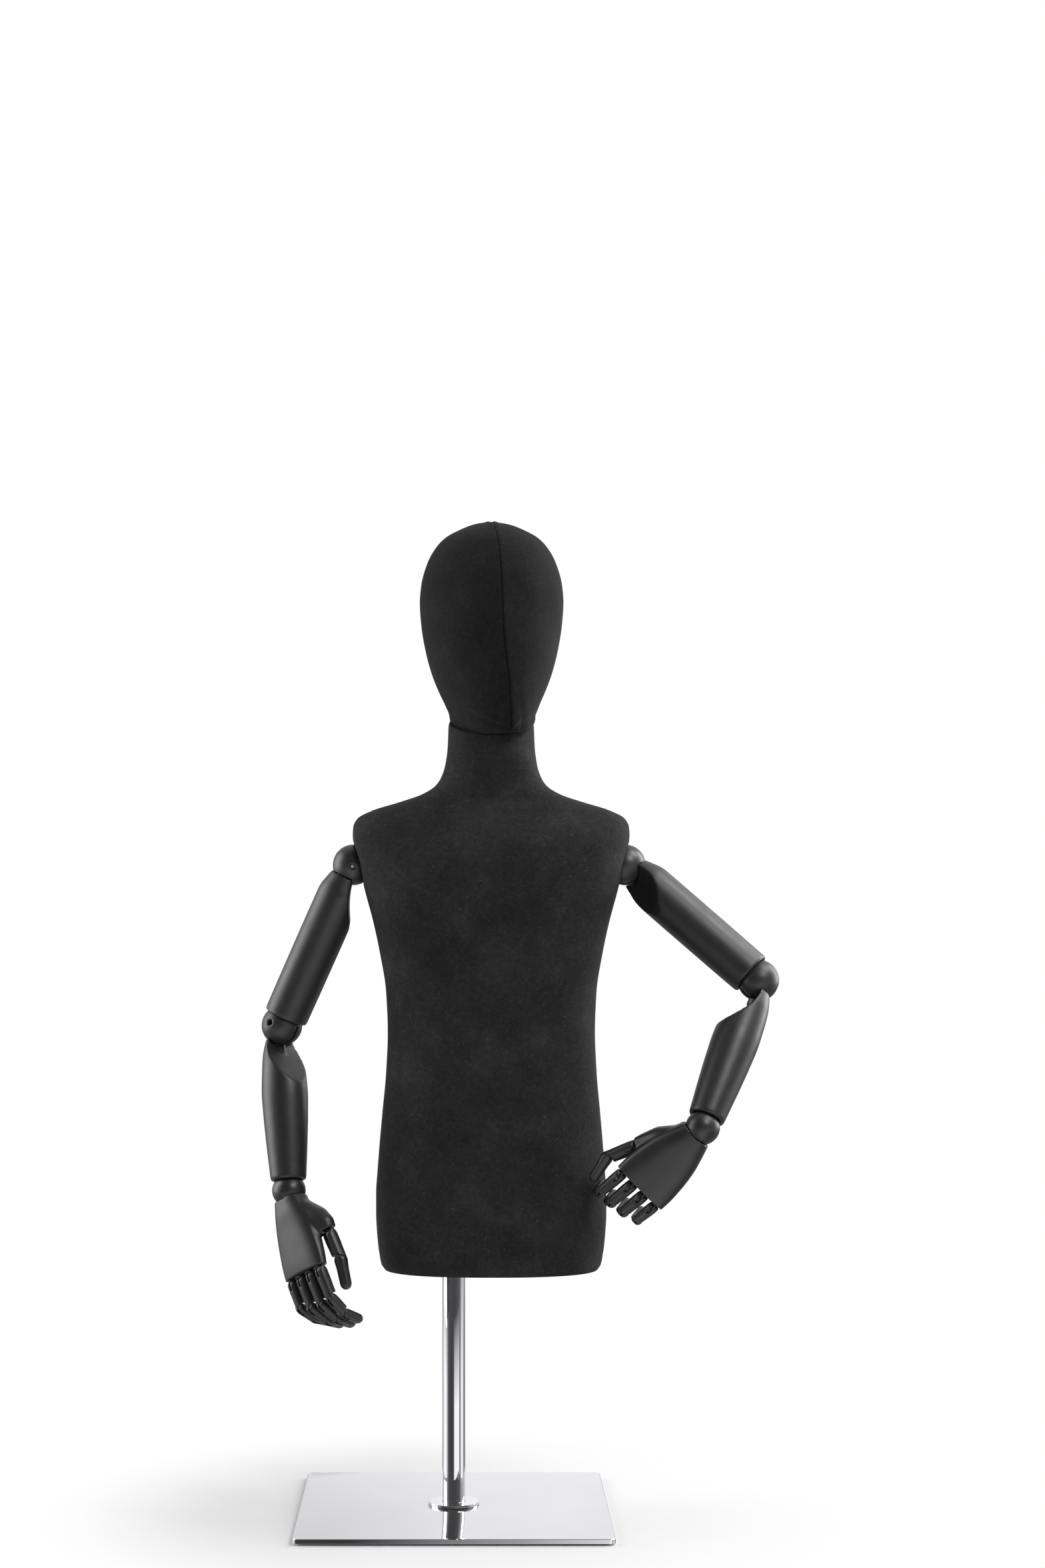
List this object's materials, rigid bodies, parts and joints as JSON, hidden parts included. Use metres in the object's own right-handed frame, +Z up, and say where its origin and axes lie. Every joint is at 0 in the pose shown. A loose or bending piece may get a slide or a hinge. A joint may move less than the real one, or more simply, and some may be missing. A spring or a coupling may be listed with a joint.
{
  "type": "dress form mannequin",
  "caption": "Child dress form: faceless egg head and torso in black jersey, jointed black wooden arms and hands, height-adjustable chrome pole on a square steel base.",
  "frame": {"origin": "on the floor, on the pole's axis at the centre of the square base", "axes": "+Z up, the form faces -Y, +X towards the form's left hand"},
  "size_m": [0.5017, 0.3, 0.9656],
  "materials": {
    "jersey": "matte black stretch jersey, light lint",
    "fibreglass": "moulded glass fibre, unpainted",
    "ply": "birch ply, unfinished",
    "black_wood": "satin black paint on turned beech",
    "chrome": "mirror polish",
    "steel": "plain zinc-plated steel",
    "pad": "matte black sheet"
  },
  "bodies": {
    "stand": {"base_plate": "chrome", "base_pad": "pad", "pole_flange": "chrome", "pole_tube": "chrome", "base_bolt": "steel"},
    "collar": {"height_collar": "steel"},
    "collar_screw": {"collar_screw": "steel"},
    "torso": {"torso_cover": "jersey", "torso_shell": "fibreglass", "base_board": "ply", "pole_socket": "steel", "shoulder_mount_R": "steel", "shoulder_mount_L": "steel"},
    "head": {"head_cover": "jersey", "head_core": "fibreglass", "head_spigot": "steel"},
    "shoulder_R": {"shoulder_ball_R": "black_wood", "shoulder_pin_R": "steel"},
    "upper_arm_R": {"upper_arm_R": "black_wood"},
    "elbow_R": {"elbow_ball_R": "black_wood", "elbow_pin_R": "steel"},
    "forearm_R": {"forearm_R": "black_wood"},
    "wrist_R": {"wrist_ball_R": "black_wood"},
    "hand_R": {"palm_R": "black_wood"},
    "shoulder_L": {"shoulder_ball_L": "black_wood", "shoulder_pin_L": "steel"},
    "upper_arm_L": {"upper_arm_L": "black_wood"},
    "elbow_L": {"elbow_ball_L": "black_wood", "elbow_pin_L": "steel"},
    "forearm_L": {"forearm_L": "black_wood"},
    "wrist_L": {"wrist_ball_L": "black_wood"},
    "hand_L": {"palm_L": "black_wood"},
    "index_proximal_R": {"index_proximal_R": "black_wood"},
    "index_middle_R": {"index_middle_R": "black_wood"},
    "index_distal_R": {"index_distal_R": "black_wood"},
    "middle_proximal_R": {"middle_proximal_R": "black_wood"},
    "middle_middle_R": {"middle_middle_R": "black_wood"},
    "middle_distal_R": {"middle_distal_R": "black_wood"},
    "ring_proximal_R": {"ring_proximal_R": "black_wood"},
    "ring_middle_R": {"ring_middle_R": "black_wood"},
    "ring_distal_R": {"ring_distal_R": "black_wood"},
    "pinky_proximal_R": {"pinky_proximal_R": "black_wood"},
    "pinky_middle_R": {"pinky_middle_R": "black_wood"},
    "pinky_distal_R": {"pinky_distal_R": "black_wood"},
    "thumb_proximal_R": {"thumb_proximal_R": "black_wood"},
    "thumb_distal_R": {"thumb_distal_R": "black_wood"},
    "index_proximal_L": {"index_proximal_L": "black_wood"},
    "index_middle_L": {"index_middle_L": "black_wood"},
    "index_distal_L": {"index_distal_L": "black_wood"},
    "middle_proximal_L": {"middle_proximal_L": "black_wood"},
    "middle_middle_L": {"middle_middle_L": "black_wood"},
    "middle_distal_L": {"middle_distal_L": "black_wood"},
    "ring_proximal_L": {"ring_proximal_L": "black_wood"},
    "ring_middle_L": {"ring_middle_L": "black_wood"},
    "ring_distal_L": {"ring_distal_L": "black_wood"},
    "pinky_proximal_L": {"pinky_proximal_L": "black_wood"},
    "pinky_middle_L": {"pinky_middle_L": "black_wood"},
    "pinky_distal_L": {"pinky_distal_L": "black_wood"},
    "thumb_proximal_L": {"thumb_proximal_L": "black_wood"},
    "thumb_distal_L": {"thumb_distal_L": "black_wood"}
  },
  "joints": [
    {"name": "height_slide", "type": "slide", "parent": "stand", "child": "collar", "axis": [0, 0, 1], "range_m": [-0.1, 0.1]},
    {"name": "torso_turn", "type": "hinge", "parent": "collar", "child": "torso", "pos_m": [0, 0, 0.24], "axis": [0, 0, 1], "continuous": true},
    {"name": "head_turn", "type": "hinge", "parent": "torso", "child": "head", "pos_m": [0.0365, 0, 0.7698], "axis": [0, -0.301, 0.9536], "range_deg": [-60, 60]},
    {"name": "shoulder_swing_R", "type": "hinge", "parent": "torso", "child": "shoulder_R", "pos_m": [-0.0985, 0, 0.6305], "axis": [-1, 0, 0], "range_deg": [-35, 95]},
    {"name": "shoulder_abduct_R", "type": "hinge", "parent": "shoulder_R", "child": "upper_arm_R", "pos_m": [-0.0985, 0, 0.6305], "axis": [0, 0.9962, 0.0873], "range_deg": [-3, 65]},
    {"name": "arm_twist_R", "type": "hinge", "parent": "upper_arm_R", "child": "elbow_R", "pos_m": [-0.16886, 0.0138, 0.47306], "axis": [-0.4067, 0.0797, -0.9101], "range_deg": [-60, 60]},
    {"name": "elbow_bend_R", "type": "hinge", "parent": "elbow_R", "child": "forearm_R", "pos_m": [-0.16886, 0.0138, 0.47306], "axis": [-0.5669, -0.8032, 0.1829], "range_deg": [-30, 62]},
    {"name": "wrist_twist_R", "type": "hinge", "parent": "forearm_R", "child": "wrist_R", "pos_m": [-0.15955, -0.02867, 0.31544], "axis": [0.0569, -0.2597, -0.964], "range_deg": [-60, 60]},
    {"name": "wrist_bend_R", "type": "hinge", "parent": "wrist_R", "child": "hand_R", "pos_m": [-0.15955, -0.02867, 0.31544], "axis": [0.6392, -0.6487, 0.413], "range_deg": [-30, 14]},
    {"name": "shoulder_swing_L", "type": "hinge", "parent": "torso", "child": "shoulder_L", "pos_m": [0.1675, 0, 0.6305], "axis": [-1, 0, 0], "range_deg": [0, 60]},
    {"name": "shoulder_abduct_L", "type": "hinge", "parent": "shoulder_L", "child": "upper_arm_L", "pos_m": [0.1675, 0, 0.6305], "axis": [0, -0.9372, 0.3487], "range_deg": [0, 50]},
    {"name": "arm_twist_L", "type": "hinge", "parent": "upper_arm_L", "child": "elbow_L", "pos_m": [0.29314, -0.04147, 0.51904], "axis": [0.7262, -0.2397, -0.6443], "range_deg": [-60, 0]},
    {"name": "elbow_bend_L", "type": "hinge", "parent": "elbow_L", "child": "forearm_L", "pos_m": [0.29314, -0.04147, 0.51904], "axis": [-0.0769, 0.903, -0.4226], "range_deg": [-55, 0]},
    {"name": "wrist_twist_L", "type": "hinge", "parent": "forearm_L", "child": "wrist_L", "pos_m": [0.23346, -0.11014, 0.38318], "axis": [-0.365, -0.42, -0.8309], "range_deg": [-10, 45]},
    {"name": "wrist_bend_L", "type": "hinge", "parent": "wrist_L", "child": "hand_L", "pos_m": [0.23346, -0.11014, 0.38318], "axis": [0.7061, -0.0083, -0.7081], "range_deg": [-30, 0]},
    {"name": "collar_screw_turn", "type": "hinge", "parent": "collar", "child": "collar_screw", "pos_m": [0, 0.018, 0.2354], "axis": [0, 1, 0], "range_deg": [-180, 180]},
    {"name": "index_knuckle_R", "type": "hinge", "parent": "hand_R", "child": "index_proximal_R", "pos_m": [-0.12597, -0.07503, 0.24296], "axis": [0.6392, -0.6487, 0.413], "range_deg": [-18, 51]},
    {"name": "index_mid_joint_R", "type": "hinge", "parent": "index_proximal_R", "child": "index_middle_R", "pos_m": [-0.11533, -0.08063, 0.21767], "axis": [0.6392, -0.6487, 0.413], "range_deg": [-30, 54]},
    {"name": "index_tip_joint_R", "type": "hinge", "parent": "index_middle_R", "child": "index_distal_R", "pos_m": [-0.10206, -0.07676, 0.20322], "axis": [0.6392, -0.6487, 0.413], "range_deg": [-27, 27]},
    {"name": "middle_knuckle_R", "type": "hinge", "parent": "hand_R", "child": "middle_proximal_R", "pos_m": [-0.13518, -0.06569, 0.23701], "axis": [0.6392, -0.6487, 0.413], "range_deg": [-17, 56]},
    {"name": "middle_mid_joint_R", "type": "hinge", "parent": "middle_proximal_R", "child": "middle_middle_R", "pos_m": [-0.12449, -0.07186, 0.21077], "axis": [0.6392, -0.6487, 0.413], "range_deg": [-36, 48]},
    {"name": "middle_tip_joint_R", "type": "hinge", "parent": "middle_middle_R", "child": "middle_distal_R", "pos_m": [-0.1099, -0.06646, 0.19667], "axis": [0.6392, -0.6487, 0.413], "range_deg": [-26, 28]},
    {"name": "ring_knuckle_R", "type": "hinge", "parent": "hand_R", "child": "ring_proximal_R", "pos_m": [-0.14438, -0.05635, 0.23106], "axis": [0.6392, -0.6487, 0.413], "range_deg": [-16, 57]},
    {"name": "ring_mid_joint_R", "type": "hinge", "parent": "ring_proximal_R", "child": "ring_middle_R", "pos_m": [-0.13457, -0.06255, 0.20613], "axis": [0.6392, -0.6487, 0.413], "range_deg": [-42, 42]},
    {"name": "ring_tip_joint_R", "type": "hinge", "parent": "ring_middle_R", "child": "ring_distal_R", "pos_m": [-0.12015, -0.05618, 0.19382], "axis": [0.6392, -0.6487, 0.413], "range_deg": [-24, 30]},
    {"name": "pinky_knuckle_R", "type": "hinge", "parent": "hand_R", "child": "pinky_proximal_R", "pos_m": [-0.15368, -0.04686, 0.22548], "axis": [0.6392, -0.6487, 0.413], "range_deg": [-15, 58]},
    {"name": "pinky_mid_joint_R", "type": "hinge", "parent": "pinky_proximal_R", "child": "pinky_middle_R", "pos_m": [-0.14557, -0.05246, 0.20414], "axis": [0.6392, -0.6487, 0.413], "range_deg": [-46, 38]},
    {"name": "pinky_tip_joint_R", "type": "hinge", "parent": "pinky_middle_R", "child": "pinky_distal_R", "pos_m": [-0.1331, -0.04644, 0.19429], "axis": [0.6392, -0.6487, 0.413], "range_deg": [-22, 32]},
    {"name": "thumb_knuckle_R", "type": "hinge", "parent": "hand_R", "child": "thumb_proximal_R", "pos_m": [-0.11759, -0.0621, 0.27548], "axis": [0.6027, -0.6198, 0.5026], "range_deg": [-12, 0]},
    {"name": "thumb_tip_joint_R", "type": "hinge", "parent": "thumb_proximal_R", "child": "thumb_distal_R", "pos_m": [-0.10739, -0.07037, 0.25305], "axis": [0.4528, 0.8835, -0.1199], "range_deg": [-20, 0]},
    {"name": "index_knuckle_L", "type": "hinge", "parent": "hand_L", "child": "index_proximal_L", "pos_m": [0.15563, -0.09476, 0.33589], "axis": [0.7061, -0.0083, -0.7081], "range_deg": [-32, 41]},
    {"name": "index_mid_joint_L", "type": "hinge", "parent": "index_proximal_L", "child": "index_middle_L", "pos_m": [0.13984, -0.07801, 0.31995], "axis": [0.7061, -0.0083, -0.7081], "range_deg": [-12, 39]},
    {"name": "index_tip_joint_L", "type": "hinge", "parent": "index_middle_L", "child": "index_distal_L", "pos_m": [0.13792, -0.05822, 0.31781], "axis": [0.7061, -0.0083, -0.7081], "range_deg": [-18, 18]},
    {"name": "middle_knuckle_L", "type": "hinge", "parent": "hand_L", "child": "middle_proximal_L", "pos_m": [0.1658, -0.09488, 0.3257], "axis": [0.7061, -0.0083, -0.7081], "range_deg": [-34, 39]},
    {"name": "middle_mid_joint_L", "type": "hinge", "parent": "middle_proximal_L", "child": "middle_middle_L", "pos_m": [0.14989, -0.07673, 0.30962], "axis": [0.7061, -0.0083, -0.7081], "range_deg": [-45, 38]},
    {"name": "middle_tip_joint_L", "type": "hinge", "parent": "middle_middle_L", "child": "middle_distal_L", "pos_m": [0.14865, -0.05582, 0.30814], "axis": [0.7061, -0.0083, -0.7081], "range_deg": [-36, 18]},
    {"name": "ring_knuckle_L", "type": "hinge", "parent": "hand_L", "child": "ring_proximal_L", "pos_m": [0.17597, -0.095, 0.3155], "axis": [0.7061, -0.0083, -0.7081], "range_deg": [-36, 37]},
    {"name": "ring_mid_joint_L", "type": "hinge", "parent": "ring_proximal_L", "child": "ring_middle_L", "pos_m": [0.16132, -0.07705, 0.30068], "axis": [0.7061, -0.0083, -0.7081], "range_deg": [-45, 37]},
    {"name": "ring_tip_joint_L", "type": "hinge", "parent": "ring_middle_L", "child": "ring_distal_L", "pos_m": [0.16088, -0.05707, 0.30001], "axis": [0.7061, -0.0083, -0.7081], "range_deg": [-36, 18]},
    {"name": "pinky_knuckle_L", "type": "hinge", "parent": "hand_L", "child": "pinky_proximal_L", "pos_m": [0.18641, -0.09519, 0.30558], "axis": [0.7061, -0.0083, -0.7081], "range_deg": [-38, 35]},
    {"name": "pinky_mid_joint_L", "type": "hinge", "parent": "pinky_proximal_L", "child": "pinky_middle_L", "pos_m": [0.17428, -0.07924, 0.2933], "axis": [0.7061, -0.0083, -0.7081], "range_deg": [-45, 36]},
    {"name": "pinky_tip_joint_L", "type": "hinge", "parent": "pinky_middle_L", "child": "pinky_distal_L", "pos_m": [0.17454, -0.06224, 0.29336], "axis": [0.7061, -0.0083, -0.7081], "range_deg": [-36, 18]},
    {"name": "thumb_knuckle_L", "type": "hinge", "parent": "hand_L", "child": "thumb_proximal_L", "pos_m": [0.16749, -0.08656, 0.36161], "axis": [0.4332, 0.1005, -0.8957], "range_deg": [-12, 15]},
    {"name": "thumb_tip_joint_L", "type": "hinge", "parent": "thumb_proximal_L", "child": "thumb_distal_L", "pos_m": [0.14483, -0.07878, 0.35152], "axis": [-0.1856, -0.9345, -0.3038], "range_deg": [-30, 10]}
  ]
}
